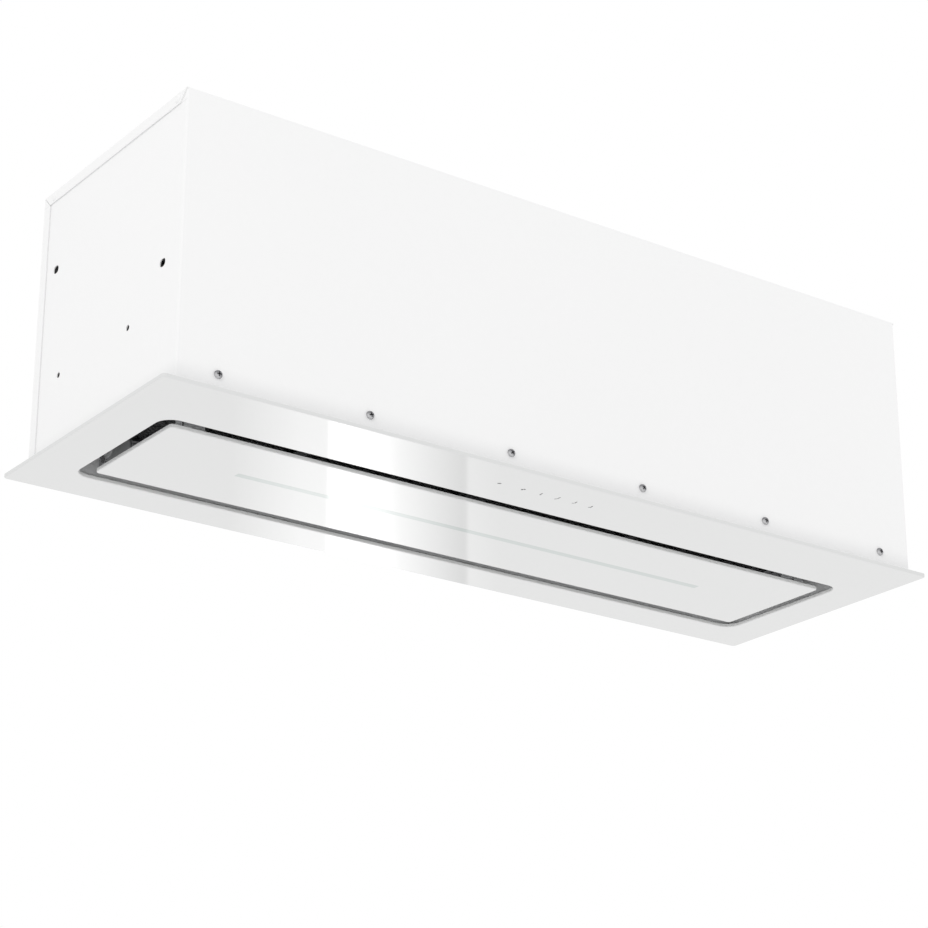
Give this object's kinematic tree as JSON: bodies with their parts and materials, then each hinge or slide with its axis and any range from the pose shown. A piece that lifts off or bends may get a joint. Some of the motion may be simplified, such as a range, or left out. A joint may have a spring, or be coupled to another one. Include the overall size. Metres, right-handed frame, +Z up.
{
  "type": "ceiling range hood",
  "caption": "Flush ceiling extractor hood: white sheet-steel casing, white glass frame below it, and a hinged glass suction pane with a light strip in the frame's opening.",
  "frame": {"origin": "centre of the four hanger holes, on the outer face of the casing's top", "axes": "+X along the hood to the right as seen from the front, -Y towards the front, +Z up"},
  "size_m": [0.9, 0.298, 0.328],
  "materials": {
    "white_steel": "satin white powder coat on sheet steel",
    "white_glass": "white back-painted toughened glass, polished edge",
    "grey_steel": "plain bright-zinc sheet steel",
    "dark_aluminium": "dark satin coat on folded aluminium and expanded mesh",
    "screw_steel": "zinc-plated steel, slight wear in the recess",
    "plain_aluminium": "drawn aluminium channel",
    "handle_wire": "bright wire",
    "black_plastic": "moulded, fine texture",
    "grey_plastic": "moulded, fine texture",
    "white_plastic": "moulded, fine texture",
    "opal_plastic": "opal light diffuser",
    "circuit_board": "solder-masked board",
    "copper": "enamelled winding wire",
    "lamination": "stacked laminations",
    "motor_steel": "drawn steel",
    "bearing_steel": "ground steel",
    "foam_tape": "white foam bonding tape"
  },
  "bodies": {
    "casing": {"casing_wrap": "white_steel", "top_cover": "white_steel", "back_panel": "white_steel", "flange_rivets": "white_steel", "front_screws": "screw_steel", "rear_screws": "screw_steel", "weld_nuts": "screw_steel", "collar_screws": "screw_steel", "glass_frame": "white_glass", "bond_tape": "foam_tape", "glass_carrier": "grey_steel", "touch_board": "circuit_board", "touch_board_cover": "black_plastic", "filter_frame": "grey_steel", "hinge_pins": "screw_steel", "catch_blocks": "grey_plastic", "scroll_wrap": "grey_plastic", "scroll_left": "grey_plastic", "scroll_right": "grey_plastic", "outlet_adapter": "grey_plastic", "motor_housing": "motor_steel", "motor_end_cap": "motor_steel", "motor_bearings": "bearing_steel", "motor_stator": "lamination", "motor_windings": "copper", "motor_bracket": "grey_steel", "outlet_collar": "black_plastic", "flap_axle": "bearing_steel", "control_box": "white_plastic", "control_box_lid": "white_plastic", "control_board": "circuit_board", "light_driver": "white_plastic", "motor_capacitor": "grey_plastic", "capacitor_strap": "grey_steel", "cable_gland": "black_plastic", "gland_nut": "black_plastic", "hanger_plates": "grey_steel"},
    "pane": {"pane_glass": "white_glass", "pane_tray": "grey_steel", "light_channel": "plain_aluminium", "light_diffuser": "opal_plastic", "light_board": "circuit_board", "hinge_brackets": "grey_steel", "strike_plates": "grey_steel"},
    "filter_left": {"filter_left_frame": "dark_aluminium", "filter_left_pad": "dark_aluminium"},
    "handle_left": {"filter_left_handle": "handle_wire"},
    "filter_right": {"filter_right_frame": "dark_aluminium", "filter_right_pad": "dark_aluminium"},
    "handle_right": {"filter_right_handle": "handle_wire"},
    "impeller": {"impeller_disc": "black_plastic", "impeller_rings": "black_plastic", "impeller_blades": "black_plastic", "impeller_bush": "motor_steel", "motor_shaft": "bearing_steel", "motor_rotor": "lamination"},
    "flap_front": {"flap_front": "grey_plastic"},
    "flap_rear": {"flap_rear": "grey_plastic"}
  },
  "joints": [
    {"name": "pane_hinge", "type": "hinge", "parent": "casing", "child": "pane", "pos_m": [-0.0035, 0.077, -0.276], "axis": [1, 0, 0], "range_deg": [0, 86]},
    {"name": "filter_left_lift", "type": "slide", "parent": "casing", "child": "filter_left", "axis": [0, 0, 1], "range_m": [0, 0.018]},
    {"name": "filter_right_lift", "type": "slide", "parent": "casing", "child": "filter_right", "axis": [0, 0, 1], "range_m": [0, 0.018]},
    {"name": "handle_left_swing", "type": "hinge", "parent": "filter_left", "child": "handle_left", "pos_m": [-0.2055, -0.02835, -0.2495], "axis": [1, 0, 0], "range_deg": [-80, 80]},
    {"name": "handle_right_swing", "type": "hinge", "parent": "filter_right", "child": "handle_right", "pos_m": [0.1985, -0.02835, -0.2495], "axis": [1, 0, 0], "range_deg": [-80, 80]},
    {"name": "impeller_spin", "type": "hinge", "parent": "casing", "child": "impeller", "pos_m": [0, -0.022, -0.114], "axis": [1, 0, 0], "continuous": true},
    {"name": "flap_front_hinge", "type": "hinge", "parent": "casing", "child": "flap_front", "pos_m": [0, 0.042, 0.0122], "axis": [-1, 0, 0], "range_deg": [0, 80]},
    {"name": "flap_rear_hinge", "type": "hinge", "parent": "casing", "child": "flap_rear", "pos_m": [0, 0.042, 0.0122], "axis": [1, 0, 0], "range_deg": [0, 80]}
  ]
}
